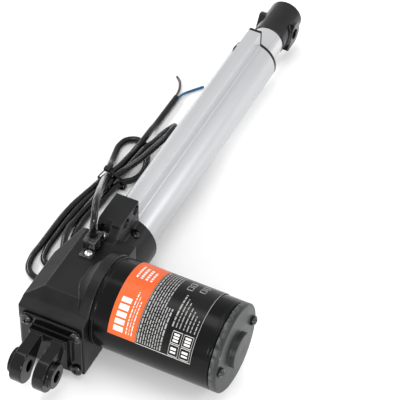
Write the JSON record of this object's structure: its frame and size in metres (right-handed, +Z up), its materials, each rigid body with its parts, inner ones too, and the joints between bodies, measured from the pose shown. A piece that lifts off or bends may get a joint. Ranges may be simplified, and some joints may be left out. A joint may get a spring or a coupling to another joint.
{
  "type": "linear actuator",
  "caption": "Straight electric actuator: right-angle worm gear motor, round tube with a top channel, sliding rod with a cross hole, rear clevis and a tied cord.",
  "frame": {"origin": "middle of the underside of the actuator's bounding box, without the cord", "axes": "+X along the tube from the rear clevis to the rod end, -Y from the tube towards the motor, +Z up through the tube's channel"},
  "size_m": [0.4116, 0.1836, 0.085],
  "materials": {
    "cast_black": "satin black paint over a slightly grained die casting",
    "black_steel": "blackened steel",
    "satin_aluminium": "satin anodised",
    "black_plastic": "matt",
    "nylon": "matt, off-white",
    "rubber": "matt",
    "circuit_green": "coated circuit board",
    "gloss_black": "semi-gloss black paint",
    "bright_steel": "bright machined or plated steel",
    "grey_plate": "dull grey zinc plate",
    "bronze": "sintered bronze",
    "laminate": "stacked steel sheets",
    "copper": "copper",
    "carbon": "carbon",
    "ferrite": "sintered ferrite",
    "label_orange": "printed film, orange and black",
    "cable_black": "smooth flexible sheath",
    "wire_brown": "smooth insulation",
    "wire_blue": "smooth insulation"
  },
  "bodies": {
    "housing": {"gearbox_housing": "cast_black", "rear_clevis": "cast_black", "rear_screw_1": "black_steel", "rear_screw_2": "black_steel", "rear_screw_3": "black_steel", "rear_screw_4": "black_steel", "collar_screw": "black_steel", "outer_tube": "satin_aluminium", "tube_end_cap": "black_plastic", "guide_bush": "nylon", "rod_seal": "rubber", "tube_side_screw": "black_steel", "limit_board": "circuit_green", "limit_switch_rear": "black_plastic", "limit_switch_front": "black_plastic", "screw_bearing_rear": "bright_steel", "screw_bearing_front": "bright_steel", "motor_can": "gloss_black", "motor_end_plate": "grey_plate", "shaft_bearing_inner": "bright_steel", "shaft_bearing_outer": "bright_steel", "shaft_bush": "bronze", "brush_ring": "black_plastic", "brush_1": "carbon", "brush_2": "carbon", "magnet_1": "ferrite", "magnet_2": "ferrite", "motor_bolt_1": "black_steel", "motor_bolt_2": "black_steel", "motor_label": "label_orange", "cable_grommet": "rubber", "cable_clamp": "black_steel", "clamp_screw_1": "bright_steel", "clamp_screw_2": "bright_steel", "power_cable": "cable_black", "cable_tie": "black_plastic", "brown_wire": "wire_brown", "blue_wire": "wire_blue"},
    "rotor": {"motor_shaft": "bright_steel", "worm": "bright_steel", "armature_core": "laminate", "winding_front": "copper", "winding_rear": "copper", "commutator": "copper"},
    "screw": {"lead_screw": "bright_steel", "worm_wheel": "nylon"},
    "rod": {"rod_tube": "satin_aluminium", "rod_end": "gloss_black", "drive_nut": "nylon"}
  },
  "joints": [
    {"name": "rotor_spin", "type": "hinge", "parent": "housing", "child": "rotor", "pos_m": [-0.12925, 0, 0.0385], "axis": [0, -1, 0], "range_deg": [0, 360000]},
    {"name": "screw_spin", "type": "hinge", "parent": "housing", "child": "screw", "pos_m": [0, 0.0469, 0.0235], "axis": [1, 0, 0], "range_deg": [0, 18000]},
    {"name": "rod_slide", "type": "slide", "parent": "housing", "child": "rod", "axis": [1, 0, 0], "range_m": [0, 0.2]}
  ],
  "couplings": [
    {"joint": "screw_spin", "follows": "rotor_spin", "ratio": 0.05},
    {"joint": "rod_slide", "follows": "rotor_spin", "m_per_rad": 0.000031831}
  ]
}
